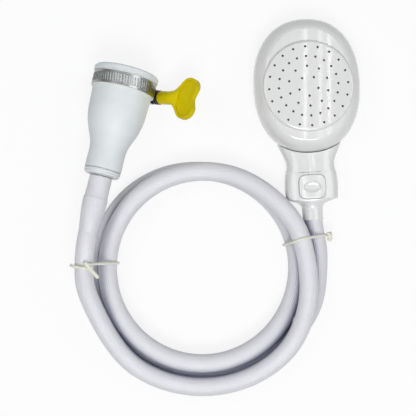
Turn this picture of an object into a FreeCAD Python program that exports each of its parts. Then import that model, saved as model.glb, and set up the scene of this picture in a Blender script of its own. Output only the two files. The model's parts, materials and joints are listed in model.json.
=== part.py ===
import FreeCAD, Part
import math
import os

# Handheld bath sprayer lying on a table: +Z up, +Y towards the top of the spray head, millimetres.
# The origin is below the middle of the rigid pieces, on the table. The hose and its ties come on top.

# Places of the three groups
headPlace = (59.6, 23.9)
handsetLean = 3.0
mouthPlace = (-64.5, 32.4, 25.6)
adapterLean = 13.3
adapterDip = 7.0
coilPlace = (-12.2, -101.8)

# General clearances
slideGap = 0.05
looseGap = 0.15

# Spray head
headWidth = 74.0
headLength = 93.0
headPower = 2.25
headWall = 2.4
seamHeight = 14.0
backSteps = ((0.0, 15.0), (1.0, 10.4), (3.6, 5.8), (8.2, 1.9), (seamHeight, 0.0))
frontSteps = ((seamHeight, 0.0), (20.5, 0.6), (25.2, 2.3), (28.8, 5.2), (30.6, 8.6))
fieldRadius = 31.0
fieldHeight = 32.8
fieldOffset = -1.5
fieldRound = 1.6
holeRadius = 0.6
holeRings = ((6.8, 5), (13.6, 10), (20.3, 20), (27.0, 20))
holeTurn = 2.1
sealWidth = 0.95
sealHeight = 1.0
sealInset = 1.35

# Flow plate behind the face
plateRadius = 29.0
plateThick = 1.6
plateTop = 24.6
plateHoleRadius = 1.1
plateRings = ((6.0, 6), (13.0, 12), (20.0, 18))
ledgeWidth = 2.2

# Screws through the head's back
screwPlaces = ((21.0, 25.0), (-21.0, 25.0), (21.0, -25.0), (-21.0, -25.0))
screwRadius = 1.4
screwHeadRadius = 2.7
screwHeadHeight = 1.9
screwLength = 14.0
screwFloor = 6.0
bossRadius = 3.6

# Neck and valve housing, both on one axis along Y
handleAxis = 10.6
handleHalfWidth = 17.8
handleHalfDepth = 10.3
handlePower = 3.2
neckEnd = -59.9
neckFlare = 2.2
seamGap = 0.25
housingLength = 18.6
plugRadius = 7.4
plugLength = 9.0
waterRadius = 3.0
neckSealRadius = 0.9
funnelLength = 6.0
stubRadius = 7.2

# Stop button in the housing's front, pressed towards the table
buttonFromTop = 9.9
buttonWidth = 18.6
buttonLength = 17.0
buttonPower = 4.0
buttonThick = 4.2
buttonRise = 1.1
buttonTravel = 2.2
dimpleHalfWidth = 6.0
dimpleHalfLength = 4.0
dimpleDepth = 1.1
dimplePower = 2.2
stemRadius = 4.0
stemWaist = 2.2
springPocketRadius = 4.4
springRadius = 3.3
springWire = 0.7
springTurns = 3
stemFoot = 6.2
stemSealRadius = 0.5
capRadius = 7.0
capThick = 1.6
backSkin = 0.3

# Hose and its handset end
hoseRadius = 6.5
hoseBore = 4.6
nutLength = 8.4
nutBore = 6.55
washerThick = 0.8
barbRadius = 3.9
barbBore = 2.9
barbLength = 10.0
barbRidge = 4.65
ridgeLength = 2.6

# Tap adapter, on its own axis from the mouth towards the neck
rimRadius = 22.4
rimThick = 4.2
cupBore = 17.5
cupBoreDepth = 34.0
bandSeatRadius = 21.2
cupOutline = ((20.8, 14.4), (20.4, 17.6), (20.1, 23.1), (19.8, 29.1), (18.9, 35.6), (17.6, 40.6),
              (15.9, 45.1), (14.2, 49.1), (12.9, 53.6), (12.5, 58.6), (12.5, 69.8))
throatRadius = 13.5
spigotRadius = 8.0
spigotFlange = 13.2
spigotFlangeThick = 2.4
spigotEndGap = 0.4
spigotEndWall = 3.0
spigotBore = 5.6
neckRingLength = 4.2
neckRingRadius = 12.4
neckRingTip = 11.1
neckRingStraight = 2.2
inletSealThick = 3.0
inletSealBore = 8.0
filterThick = 1.2
filterRadius = 12.8
filterHoleRadius = 0.8
filterRings = ((3.2, 6), (6.0, 12))
tapBarbRadius = 4.2
tapBarbRidge = 4.65
tapBarbBore = 3.1
tapBarbEnd = 91.0

# Swollen hose end on the tap spigot: outer radius and distance from the cuff's start
cuffStart = 74.8
cuffOutline = ((7.7, 0.0), (7.7, 14.0), (8.3, 16.6), (8.15, 21.4), (7.2, 29.6))
cuffBoreLength = 18.5

# Worm clamp round the cup
bandThick = 0.7
bandWidth = 9.0
bandStart = 5.0
slotPitch = 5.1
slotCount = 46
slotFirst = -25.0
slotLength = 6.0
slotWidth = 1.0
slotTilt = 8.0
screwAngle = -48.0
wormRadius = 3.2
wormCore = 2.3
wormPitch = 2.0
wormLength = 9.0
coverLength = 13.0
coverWall = 0.8
tailStart = -52.0
tailSpan = 62.0
tailNarrow = 0.2
shaftEnd = 23.0
collarRadius = 5.0
collarWaist = 4.1
collarLip = 1.1
collarStart = 7.4
collarLength = 3.6

# Wing key on the screw
keyStart = 11.2
barrelRadius = 4.65
barrelLength = 9.4
wingThick = 3.4
wingPanelDepth = 0.8
wingEdge = 1.9
wingHalf = ((21.0, 4.2), (24.0, 5.0), (27.2, 7.4), (30.4, 11.2), (33.6, 13.9), (37.2, 14.6),
            (41.6, 13.2), (44.5, 9.8), (44.7, 6.0), (43.5, 3.0), (42.9, 0.0))
panelStart = 29.0
flareSteps = ((-0.4, -0.08, -0.08, 2.0), (3.0, -0.55, 0.25, 2.0), (6.0, -1.5, 1.6, 2.3),
              (8.4, -2.5, 3.6, 3.0))
barrelRound = 0.8

# Coil: outer edge as angle and radius from the coil's middle, and the inner edge
coilOuter = ((0, 87.2), (28, 72.4), (60, 72.4), (90, 73.0), (120, 74.0), (150, 78.0), (180, 88.6),
             (215, 90.0), (240, 90.4), (270, 90.2), (305, 90.2), (335, 89.6))
coilInner = 60.0
coilHeight = 24.0
coilRound = 5.0

# Hose outside the coil: a straight run out of each fitting, then chosen points
handsetRun = 17.0
tapRun = 22.0
handsetRoute = ((67.2, -94.8, 8.6),)
tapRoute = ((-93.2, -99.2, 37.6), (-92.6, -120.0, 30.0))

# Twist ties round the strands: angle from the coil's middle, and corners as distance from it and height
tieRadius = 0.6
tieLow = tieRadius + 0.02
ties = {"tie_left": (181.0, ((58.8, tieLow), (91.0, tieLow), (91.0, 44.0), (74.5, 44.0), (58.8, 27.0))),
        "tie_right": (14.0, ((58.8, tieLow), (87.0, tieLow), (87.0, 20.0), (78.0, 29.4), (58.8, 29.4)))}
tieCorner = 4.0
tieTwistRadius = 0.96
tieTwistLength = 9.0

origin = FreeCAD.Vector(0, 0, 0)
alongX = FreeCAD.Vector(1, 0, 0)
alongY = FreeCAD.Vector(0, 1, 0)
alongZ = FreeCAD.Vector(0, 0, 1)


def point(x, y, z=0.0):
    return FreeCAD.Vector(x, y, z)


def rod(radius, base, direction, length):
    return Part.makeCylinder(radius, length, base, direction)


def tube(outer, inner, base, direction, length):
    return rod(outer, base, direction, length).cut(rod(inner, base, direction, length))


def joined(shapes):
    whole = shapes[0]
    for shape in shapes[1:]:
        whole = whole.fuse(shape)
    return whole.removeSplitter()


def cutPattern(shape, tools):
    """Cut with tools that stay clear of each other, in one step."""
    return shape.cut(Part.makeCompound(tools))


def cutEach(shape, tools):
    """Cut with tools that may run into each other, one after the other."""
    for tool in tools:
        shape = shape.cut(tool)
    return shape


def roundOutline(centre, across, along, halfWidth, halfLength, power, count=40):
    """Closed smooth outline between an ellipse (power 2) and a rectangle (high power)."""
    points = []
    for index in range(count):
        angle = 2 * math.pi * index / count
        c, s = math.cos(angle), math.sin(angle)
        u = math.copysign(abs(c) ** (2 / power), c) * halfWidth
        v = math.copysign(abs(s) ** (2 / power), s) * halfLength
        points.append(centre + across * u + along * v)
    curve = Part.BSplineCurve()
    curve.interpolate(Points=points, PeriodicFlag=True)
    return Part.Wire([curve.toShape()])


def headOutline(height, inset):
    return roundOutline(point(0, 0, height), alongX, alongY,
                        headWidth / 2 - inset, headLength / 2 - inset, headPower)


def headPrism(bottom, top, inset):
    face = Part.Face(headOutline(bottom, inset))
    return face.extrude(point(0, 0, top - bottom))


def headLoft(steps):
    return Part.makeLoft([headOutline(z, inset) for z, inset in steps], True)


def innerSteps(steps, closedEnd):
    """Steps of the hollow inside: one wall in from the side and one wall in from the closed end."""
    span = closedEnd - seamHeight
    return [(z - math.copysign(headWall, span) * (z - seamHeight) / span, inset + headWall)
            for z, inset in steps]


def revolved(outline):
    """Solid of revolution about Z from (radius, height) corners."""
    corners = [point(r, 0, z) for r, z in outline]
    face = Part.Face(Part.makePolygon(corners + corners[:1]))
    return face.revolve(origin, alongZ, 360)


def revolvedSmooth(curved, closing):
    """Solid of revolution about Z: a smooth outer stretch closed by straight inner corners."""
    smooth = Part.BSplineCurve()
    smooth.interpolate([point(r, 0, z) for r, z in curved])
    corners = [point(*curved[-1][:1], 0, curved[-1][1])]
    corners += [point(r, 0, z) for r, z in closing]
    corners += [point(curved[0][0], 0, curved[0][1])]
    wire = Part.Wire([smooth.toShape()] + Part.makePolygon(corners).Edges)
    return Part.Face(wire).revolve(origin, alongZ, 360)


def pathWire(points):
    """Straight runs joined by tangent arcs as large as the runs allow."""
    edges = []
    start = points[0]
    for before, corner, after in zip(points, points[1:], points[2:]):
        back = before - corner
        ahead = after - corner
        reach = 0.45 * min(back.Length, ahead.Length)
        back.normalize()
        ahead.normalize()
        half = (math.pi - back.getAngle(ahead)) / 2
        radius = reach / math.tan(half)
        enter = corner + back * reach
        leave = corner + ahead * reach
        middle = back + ahead
        middle.normalize()
        top = corner + middle * (radius / math.cos(half) - radius)
        edges.append(Part.LineSegment(start, enter).toShape())
        edges.append(Part.Arc(enter, top, leave).toShape())
        print("arc radius", round(radius, 1), "turn", round(math.degrees(2 * half), 1))
        start = leave
    edges.append(Part.LineSegment(start, points[-1]).toShape())
    return Part.Wire(edges)


def sweptTube(points, outer, inner):
    path = pathWire(points)
    direction = points[1] - points[0]
    solids = []
    for radius in (outer, inner):
        circle = Part.Wire([Part.makeCircle(radius, points[0], direction)])
        solids.append(path.makePipeShell([circle], True, True))
    swept = solids[0].cut(solids[1])
    ideal = math.pi * (outer ** 2 - inner ** 2) * path.Length
    print("tube length", round(path.Length, 1), "volume ratio", round(swept.Volume / ideal, 4))
    return swept


def ringHoles(radius, rings, base, length, turn=0.0):
    """Upright holes in rings round base, each ring with a hole on the -Y side before it is turned."""
    holes = []
    for ringRadius, count in rings:
        for index in range(count):
            angle = math.radians(turn - 90) + 2 * math.pi * index / count
            place = point(ringRadius * math.cos(angle), ringRadius * math.sin(angle))
            holes.append(rod(radius, base + place, alongZ, length))
    return holes


def inHandset(shape):
    shape.rotate(origin, alongZ, handsetLean)
    shape.translate(point(headPlace[0], headPlace[1]))
    return shape


def inAdapter(shape):
    shape.rotate(origin, alongX, 90 - adapterDip)
    shape.rotate(origin, alongZ, -adapterLean)
    shape.translate(point(*mouthPlace))
    return shape


def atScrew(shape):
    """From the clamp's own place, screw along +Y at the right, round to where it sits."""
    shape.rotate(origin, alongZ, screwAngle)
    return inAdapter(shape)


def fieldPlace(z):
    """Middle of the raised field, at one height."""
    return point(0, fieldOffset, z)


def frontShell():
    top = frontSteps[-1][0]
    shell = headLoft(frontSteps)
    field = rod(fieldRadius, fieldPlace(seamHeight + 6), alongZ, fieldHeight - seamHeight - 6)
    rimEdge = [edge for edge in field.Edges if abs(edge.CenterOfMass.z - fieldHeight) < 0.01]
    field = field.makeFillet(fieldRound, rimEdge)
    shell = shell.fuse(field).cut(headLoft(innerSteps(frontSteps, top)))
    ledge = tube(plateRadius + 0.6, plateRadius - ledgeWidth, fieldPlace(plateTop), alongZ,
                 fieldHeight - headWall - plateTop + 0.5)
    shell = shell.fuse(ledge.common(headLoft(frontSteps)))
    bosses = [rod(bossRadius, point(x, y, seamHeight), alongZ, 12.5) for x, y in screwPlaces]
    bossBlock = Part.makeCompound(bosses).common(headLoft(frontSteps))
    shell = joined([shell] + bossBlock.Solids)
    pilotLength = screwFloor + screwLength - seamHeight + 1.5
    pilots = [rod(screwRadius, point(x, y, seamHeight - 1), alongZ, pilotLength) for x, y in screwPlaces]
    plateRoom = rod(plateRadius + looseGap, fieldPlace(seamHeight - 1), alongZ, plateTop - seamHeight + 1)
    holes = ringHoles(holeRadius, holeRings, fieldPlace(plateTop), fieldHeight + 1 - plateTop,
                      holeTurn)
    return inHandset(cutPattern(cutEach(shell, [plateRoom] + pilots), holes))


def backShell():
    shell = headLoft(backSteps)
    handle = handleLoft(((neckEnd, 0.0), (neckEnd + 10, 0.0), (-headLength / 2 + 1.5, neckFlare),
                         (-headLength / 2 + 12, neckFlare * 2)))
    handle = handle.cut(headPrism(seamHeight, 60, -looseGap))
    shell = cutEach(shell.fuse(handle), [
        headLoft(innerSteps(backSteps, 0.0)),
        rod(plugRadius + slideGap, point(0, neckEnd - 1, handleAxis), alongY, plugLength + 2),
        rod(waterRadius, point(0, neckEnd, handleAxis - 2.5), alongY, 22),
        headPrism(seamHeight - sealHeight, seamHeight + 1, sealInset)])
    outside = headLoft(backSteps)
    for x, y in screwPlaces:
        boss = rod(bossRadius, point(x, y, 1.0), alongZ, seamHeight - 1.0)
        shell = shell.fuse(boss.common(outside))
    for x, y in screwPlaces:
        shell = shell.cut(rod(screwRadius + looseGap, point(x, y, -1), alongZ, seamHeight + 2))
        shell = shell.cut(rod(screwHeadRadius + looseGap, point(x, y, -1), alongZ, screwFloor + 1))
    return inHandset(shell)


def faceSeal():
    bottom = seamHeight - sealHeight
    seal = headPrism(bottom, seamHeight, sealInset + slideGap)
    return inHandset(seal.cut(headPrism(bottom, seamHeight, sealInset + sealWidth)))


def flowPlate():
    bottom = plateTop - plateThick
    plate = rod(plateRadius, fieldPlace(bottom), alongZ, plateThick)
    notches = [rod(bossRadius + looseGap, point(x, y, bottom - 1), alongZ, plateThick + 2)
               for x, y in screwPlaces]
    holes = ringHoles(plateHoleRadius, plateRings, fieldPlace(bottom - 1), plateThick + 2)
    return inHandset(cutPattern(plate, holes + notches))


def shellScrews():
    screws = []
    for x, y in screwPlaces:
        head = rod(screwHeadRadius, point(x, y, screwFloor - screwHeadHeight), alongZ, screwHeadHeight)
        slot = Part.makeBox(2 * screwHeadRadius, 0.7, 0.8,
                            point(x - screwHeadRadius, y - 0.35, screwFloor - screwHeadHeight))
        shank = rod(screwRadius, point(x, y, screwFloor), alongZ, screwLength)
        screws.append(head.cut(slot).fuse(shank))
    return inHandset(Part.makeCompound(screws))


def handleOutline(y, grow):
    return roundOutline(point(0, y, handleAxis), alongX, alongZ,
                        handleHalfWidth + grow, handleHalfDepth + min(grow, 0), handlePower)


def handleLoft(steps):
    return Part.makeLoft([handleOutline(y, grow) for y, grow in steps], True)


def housingTop():
    return neckEnd - seamGap


def housingFoot():
    return housingTop() - housingLength


def stubFoot():
    return housingFoot() - funnelLength


def buttonPlace(z):
    return point(0, housingTop() - buttonFromTop, z)


def buttonTop():
    return handleAxis + handleHalfDepth + buttonRise


def buttonBottom():
    return buttonTop() - buttonThick


def capTop():
    return backSkin + capThick


def buttonOutline(z, grow):
    return roundOutline(buttonPlace(z), alongX, alongY,
                        buttonWidth / 2 + grow, buttonLength / 2 + grow, buttonPower)


def valveHousing():
    body = handleLoft(((housingTop(), 0.0), (housingFoot() + 2, 0.5), (housingFoot(), 0.3)))
    funnel = Part.makeLoft([
        handleOutline(housingFoot() + 0.01, -0.9),
        roundOutline(point(0, housingFoot() - 1.6, handleAxis), alongX, alongZ, 13.0, 9.0, 2.6),
        roundOutline(point(0, housingFoot() - 3.6, handleAxis), alongX, alongZ, 8.6, 7.9, 2.0),
        roundOutline(point(0, stubFoot(), handleAxis), alongX, alongZ, stubRadius, stubRadius, 2.0)], True)
    plug = rod(plugRadius, point(0, housingTop(), handleAxis), alongY, plugLength + seamGap)
    groove = tube(plugRadius + 1, plugRadius - 2 * neckSealRadius,
                  point(0, neckEnd + plugLength / 2 - neckSealRadius, handleAxis), alongY,
                  2 * neckSealRadius)
    whole = joined([body, funnel, plug.cut(groove)])
    pocketFloor = buttonBottom() - buttonTravel - looseGap
    pocket = Part.Face(buttonOutline(pocketFloor, looseGap)).extrude(point(0, 0, 12))
    tools = [
        pocket,
        rod(stemRadius + slideGap, buttonPlace(0), alongZ, buttonTop()),
        rod(springPocketRadius, buttonPlace(0), alongZ, stemFoot),
        rod(capRadius, buttonPlace(-1), alongZ, 1 + capTop()),
        rod(waterRadius, point(0, stubFoot() - 1, handleAxis), alongY, 60),
        rod(barbRadius, point(0, stubFoot() - 1, handleAxis), alongY, 5),
    ]
    return inHandset(cutEach(whole, tools))


def neckSeal():
    centre = point(0, neckEnd + plugLength / 2, handleAxis)
    radius = plugRadius - neckSealRadius + slideGap / 2
    return inHandset(Part.makeTorus(radius, neckSealRadius, centre, alongY))


def stopButton():
    pad = Part.Face(buttonOutline(buttonBottom(), -slideGap)).extrude(point(0, 0, buttonThick))
    topEdges = [edge for edge in pad.Edges if abs(edge.CenterOfMass.z - buttonTop()) < 0.01]
    pad = pad.makeFillet(0.9, topEdges)
    dimple = Part.makeLoft([
        roundOutline(buttonPlace(buttonTop() + height), alongX, alongY,
                     dimpleHalfWidth + grow, dimpleHalfLength + grow, dimplePower)
        for height, grow in ((0.3, 0.4), (-0.6 * dimpleDepth, -0.9), (-dimpleDepth, -2.5))], True)
    stem = rod(stemRadius, buttonPlace(stemFoot), alongZ, buttonBottom() - stemFoot)
    grooves = [tube(stemRadius + 1, stemRadius - 2 * stemSealRadius, buttonPlace(z - stemSealRadius),
                    alongZ, 2 * stemSealRadius) for z in stemSealHeights()]
    waist = tube(stemRadius + 1, stemWaist, buttonPlace(handleAxis - waterRadius + 0.4), alongZ,
                 2 * waterRadius)
    return inHandset(cutEach(joined([pad.cut(dimple), stem]), grooves + [waist]))


def stemSealHeights():
    return (stemFoot + 0.9, handleAxis + waterRadius + 1.2)


def spoolSeals():
    radius = stemRadius - stemSealRadius + slideGap / 2
    seals = [Part.makeTorus(radius, stemSealRadius, buttonPlace(z), alongZ) for z in stemSealHeights()]
    return inHandset(Part.makeCompound(seals))


def buttonSpring():
    height = stemFoot - capTop() - springWire - 0.1
    coilRadius = springRadius - springWire / 2
    helix = Part.makeHelix(height / springTurns, height, coilRadius)
    section = Part.Wire([Part.makeCircle(springWire / 2, point(coilRadius, 0), alongY)])
    spring = Part.Wire(helix.Edges).makePipeShell([section], True, True)
    spring.translate(buttonPlace(capTop() + springWire / 2 + 0.05))
    return inHandset(spring)


def spoolCap():
    cap = rod(capRadius, buttonPlace(backSkin), alongZ, capThick)
    slot = Part.makeBox(9, 1.4, 0.8, buttonPlace(backSkin) + point(-4.5, -0.7, 0))
    return inHandset(cap.cut(slot))


def hoseNut():
    base = point(0, stubFoot(), handleAxis)
    nut = tube(stubRadius, nutBore, base, -alongY, nutLength)
    flutes = []
    for index in range(16):
        angle = 2 * math.pi * index / 16
        place = base + point(stubRadius * math.cos(angle), -1.2, stubRadius * math.sin(angle))
        flutes.append(rod(0.28, place, -alongY, nutLength - 2.4))
    return inHandset(cutPattern(nut, flutes))


def barbWasher():
    return inHandset(tube(nutBore - slideGap, barbRadius + slideGap, point(0, stubFoot(), handleAxis),
                          -alongY, washerThick))


def barbSolid(radius, ridge, bore, start, end, firstRidge):
    """Barbed tube along -Y from start to end, with saw-tooth ridges from firstRidge on."""
    solid = rod(radius, point(0, start, 0), -alongY, start - end)
    place = firstRidge
    while place - ridgeLength >= end - 0.01:
        tooth = Part.makeCone(ridge, radius - 0.05, ridgeLength, point(0, place, 0), -alongY)
        solid = solid.fuse(tooth)
        place -= ridgeLength
    return solid.removeSplitter().cut(rod(bore, point(0, start + 1, 0), -alongY, start - end + 2))


def handsetBarb():
    foot = stubFoot()
    barb = barbSolid(barbRadius, barbRidge, barbBore, foot + 4, foot - barbLength, foot - 2)
    barb.translate(point(0, 0, handleAxis))
    return inHandset(barb)


def flangeTop():
    """Distance from the mouth to the spigot's flange, below the inlet seal and the filter."""
    return cupBoreDepth + inletSealThick + filterThick + slideGap


def throatDepth():
    return flangeTop() + spigotFlangeThick + slideGap


def tapCup():
    closing = ((spigotRadius + slideGap, cupOutline[-1][1]), (spigotRadius + slideGap, throatDepth()),
               (throatRadius, throatDepth()), (throatRadius, cupBoreDepth), (cupBore, cupBoreDepth),
               (cupBore, 1.0), (cupBore + 1.0, 0.0), (rimRadius - 1.0, 0.0), (rimRadius, 1.0),
               (rimRadius, rimThick - 0.6), (rimRadius - 0.6, rimThick), (bandSeatRadius, rimThick),
               (bandSeatRadius, cupOutline[0][1] - 0.2))
    return inAdapter(revolvedSmooth(cupOutline, closing))


def neckRing():
    start = cupOutline[-1][1]
    end = start + neckRingLength
    bore = spigotRadius + slideGap
    ring = revolved(((bore, start), (neckRingRadius, start), (neckRingRadius, start + neckRingStraight),
                     (neckRingTip, end), (bore, end)))
    return inAdapter(ring)


def tapSpigot():
    flangeEnd = flangeTop() + spigotFlangeThick
    body = rod(spigotRadius, point(0, 0, flangeEnd), alongZ, cuffStart - spigotEndGap - flangeEnd)
    flange = rod(spigotFlange, point(0, 0, flangeTop()), alongZ, spigotFlangeThick)
    wideBore = rod(spigotBore, point(0, 0, flangeTop() - 1), alongZ,
                   cuffStart - spigotEndWall - flangeTop())
    narrowBore = rod(tapBarbBore, origin, alongZ, cuffStart)
    barb = barbSolid(tapBarbRadius, tapBarbRidge, tapBarbBore, 0, cuffStart - 2 - tapBarbEnd, -3)
    barb.rotate(origin, alongX, -90)
    barb.translate(point(0, 0, cuffStart - 2))
    return inAdapter(joined([cutEach(joined([body, flange]), [wideBore, narrowBore]), barb]))


def inletSeal():
    return inAdapter(tube(throatRadius - looseGap, inletSealBore, point(0, 0, cupBoreDepth), alongZ,
                          inletSealThick))


def tapFilter():
    bottom = cupBoreDepth + inletSealThick
    disc = rod(filterRadius, point(0, 0, bottom), alongZ, filterThick)
    holes = ringHoles(filterHoleRadius, filterRings, point(0, 0, bottom - 1), filterThick + 2)
    return inAdapter(cutPattern(disc, holes))


def cuffBoreEnd():
    """Distance from the mouth to the hose's end inside the cuff."""
    return cuffStart + cuffBoreLength


def hoseCuff():
    outside = [(radius, cuffStart + along) for radius, along in cuffOutline]
    inside = [(hoseRadius, outside[-1][1]), (hoseRadius, cuffBoreEnd()), (hoseBore, cuffBoreEnd()),
              (hoseBore, cuffStart)]
    return inAdapter(revolved(outside + inside))


def clampBand():
    outer = bandSeatRadius + bandThick
    band = tube(outer, bandSeatRadius, point(0, 0, bandStart), alongZ, bandWidth)
    slots = []
    for index in range(slotCount):
        slot = Part.makeBox(3, slotWidth, slotLength,
                            point(bandSeatRadius - 1, -slotWidth / 2, -slotLength / 2))
        slot.rotate(origin, alongX, slotTilt)
        slot.translate(point(0, 0, bandStart + bandWidth / 2))
        slot.rotate(origin, alongZ, slotFirst + slotPitch * index)
        slots.append(slot)
    return inAdapter(cutPattern(band, slots))


def tailOuter():
    return bandSeatRadius + 2 * bandThick + 0.1


def wormPlace():
    return tailOuter() + 0.15 + wormRadius


def wormHeight():
    return bandStart + bandWidth / 2


def bandTail():
    inner = bandSeatRadius + bandThick + 0.1
    strip = tube(tailOuter(), inner, point(0, 0, bandStart + tailNarrow), alongZ,
                 bandWidth - 2 * tailNarrow)
    wedge = Part.makeCylinder(60, 60, point(0, 0, -20), alongZ, tailSpan)
    wedge.rotate(origin, alongZ, tailStart - tailSpan + 12)
    return inAdapter(strip.common(wedge))


def clampHousing():
    """Cover over the worm with two side legs down to the band's edges."""
    x, z = wormPlace(), wormHeight()
    start = point(x, -coverLength / 2, z)
    outer = wormRadius + 0.2 + coverWall
    cover = rod(outer, start, alongY, coverLength)
    legHeight = x - bandSeatRadius - bandThick / 2
    legFoot = bandSeatRadius + bandThick / 2
    block = Part.makeBox(legHeight, coverLength, bandWidth + 2 * coverWall,
                         point(legFoot, -coverLength / 2, z - bandWidth / 2 - coverWall))
    inside = Part.makeBox(legHeight + 2, coverLength + 2, bandWidth,
                          point(bandSeatRadius - 1, -coverLength / 2 - 1, z - bandWidth / 2))
    shoulder = Part.makeBox(coverWall, coverLength, bandWidth + 2 * coverWall,
                            point(x - coverWall, -coverLength / 2, z - bandWidth / 2 - coverWall))
    cavity = rod(wormRadius + 0.2, point(x, -coverLength / 2 - 1, z), alongY, coverLength + 2)
    ends = [tube(outer, wormCore + slideGap, point(x, y, z), alongY, 1.0)
            for y in (-coverLength / 2, coverLength / 2 - 1.0)]
    top = joined([cover, shoulder]).cut(cavity)
    skirt = rod(tailOuter() + 0.1, point(0, 0, -20), alongZ, 60)
    whole = joined([top, block.cut(inside)] + [end.cut(skirt) for end in ends])
    window = tube(tailOuter() + 0.1, bandSeatRadius - 2, point(0, 0, bandStart), alongZ, bandWidth)
    return atScrew(whole.cut(window))


def wormScrew():
    x, z = wormPlace(), wormHeight()
    core = rod(wormCore, point(x, -coverLength / 2 - 0.8, z), alongY, shaftEnd + coverLength / 2 + 0.8)
    thread = [core]
    turns = int(wormLength / wormPitch)
    for index in range(turns):
        y = -wormPitch * turns / 2 + wormPitch * index
        rise = Part.makeCone(wormCore - 0.05, wormRadius, 0.7, point(x, y + 0.2, z), alongY)
        crest = rod(wormRadius, point(x, y + 0.9, z), alongY, 0.3)
        fall = Part.makeCone(wormRadius, wormCore - 0.05, 0.7, point(x, y + 1.2, z), alongY)
        thread.append(joined([rise, crest, fall]))
    return atScrew(joined(thread))


def thrustCollar():
    """Collar with a lip at each end."""
    base = point(wormPlace(), collarStart, wormHeight())
    waist = tube(collarWaist, wormCore, base, alongY, collarLength)
    lips = [tube(collarRadius, wormCore, base + alongY * start, alongY, collarLip)
            for start in (0, collarLength - collarLip)]
    return atScrew(joined([waist] + lips))


def wingOutline(inset):
    """Closed butterfly outline, along the screw and across it, drawn in by inset."""
    half = [point(0, s, w) for s, w in wingHalf]
    mirrored = [point(0, s, -w) for s, w in wingHalf[-2::-1]]
    curve = Part.BSplineCurve()
    curve.interpolate(Points=half + mirrored, PeriodicFlag=True)
    if inset:
        curve = insetCurve(curve, inset)
    return Part.Wire([curve.toShape()])


def insetCurve(outline, inset, count=48):
    """Closed curve at one distance inside a closed outline that lies across X."""
    points = []
    for index in range(count):
        place = outline.FirstParameter + (outline.LastParameter - outline.FirstParameter) * index / count
        inward = outline.tangent(place)[0].cross(alongX)
        points.append(outline.value(place) - inward * inset)
    drawn = Part.BSplineCurve()
    drawn.interpolate(Points=points, PeriodicFlag=True)
    area = Part.Face(Part.Wire([drawn.toShape()])).Area
    if area > Part.Face(Part.Wire([outline.toShape()])).Area:
        return insetCurve(outline, -inset, count)
    return drawn


def wingKey():
    """Barrel that flares into a butterfly wing, with a sunk panel on each face."""
    plate = Part.Face(wingOutline(0)).extrude(point(wingThick, 0, 0))
    plate.translate(point(-wingThick / 2, 0, 0))
    outerHalf = Part.makeBox(2 * wingThick, wingHalf[-1][0], 4 * wingHalf[5][1],
                             point(-wingThick, panelStart, -2 * wingHalf[5][1]))
    for side in (1, -1):
        panel = Part.Face(wingOutline(wingEdge)).extrude(point(side * wingThick, 0, 0))
        panel.translate(point(side * (wingThick / 2 - wingPanelDepth), 0, 0))
        plate = plate.cut(panel.common(outerHalf))
    barrelEnd = keyStart + barrelLength
    barrel = rod(barrelRadius, point(0, keyStart, 0), alongY, barrelLength)
    edges = [edge for edge in barrel.Edges if abs(edge.CenterOfMass.y - keyStart) < 0.01]
    barrel = barrel.makeFillet(barrelRound, edges)
    flare = Part.makeLoft([
        roundOutline(point(0, barrelEnd + along, 0), alongX, alongZ,
                     barrelRadius + thinner, barrelRadius + wider, power)
        for along, thinner, wider, power in flareSteps], True)
    whole = joined([plate, barrel, flare])
    whole = whole.cut(rod(wormCore, point(0, keyStart - 1, 0), alongY, shaftEnd - keyStart + 1))
    whole.translate(point(wormPlace(), 0, wormHeight()))
    return atScrew(whole)


def hoseCoil():
    """Closed outer shape of the coiled strands, lying on the table."""
    points = []
    for angle, radius in coilOuter:
        turn = math.radians(angle)
        points.append(point(radius * math.cos(turn), radius * math.sin(turn)))
    curve = Part.BSplineCurve()
    curve.interpolate(Points=points, PeriodicFlag=True)
    body = Part.Face(Part.Wire([curve.toShape()])).extrude(point(0, 0, coilHeight))
    body = body.cut(rod(coilInner, point(0, 0, -1), alongZ, coilHeight + 2))
    body = body.makeFillet(coilRound, [edge for edge in body.Edges if edge.BoundBox.ZLength < 0.01])
    body.translate(point(coilPlace[0], coilPlace[1]))
    return body


def handsetTail():
    start = point(0, stubFoot() - washerThick, handleAxis)
    ends = [inHandset(Part.Vertex(start - alongY * run)).Point for run in (0, handsetRun)]
    return sweptTube(ends + [point(*place) for place in handsetRoute], hoseRadius, hoseBore)


def tapTail():
    ends = [inAdapter(Part.Vertex(0, 0, cuffBoreEnd() + run)).Point for run in (0, tapRun)]
    return sweptTube(ends + [point(*place) for place in tapRoute], hoseRadius, hoseBore)


def twistTie(angle, corners):
    """Wire loop round the strands with its twisted pair lying on top."""
    ends = [point(r, 0, z) for r, z in corners]
    count = len(ends)
    rounded = []
    for index, corner in enumerate(ends):
        back = (ends[index - 1] - corner).normalize()
        ahead = (ends[(index + 1) % count] - corner).normalize()
        half = (back.getAngle(ahead)) / 2
        inward = (back + ahead).normalize()
        radius = tieCorner * math.tan(half)
        middle = corner + inward * (radius / math.sin(half) - radius)
        rounded.append((corner + back * tieCorner, middle, corner + ahead * tieCorner))
    path = []
    for index, (enter, middle, leave) in enumerate(rounded):
        path.append(Part.Arc(enter, middle, leave).toShape())
        path.append(Part.LineSegment(leave, rounded[(index + 1) % count][0]).toShape())
    start = rounded[0][0]
    direction = path[0].tangentAt(path[0].FirstParameter)
    section = Part.Wire([Part.makeCircle(tieRadius, start, direction)])
    loop = Part.Wire(path).makePipeShell([section], True, True)
    twistBase = rounded[3][2] + point(0, 0, tieRadius)
    twist = rod(tieTwistRadius, twistBase, point(0.75, -0.6, 0.1), tieTwistLength)
    tie = joined([loop, twist])
    tie.rotate(origin, alongZ, angle)
    tie.translate(point(coilPlace[0], coilPlace[1]))
    return tie


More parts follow.
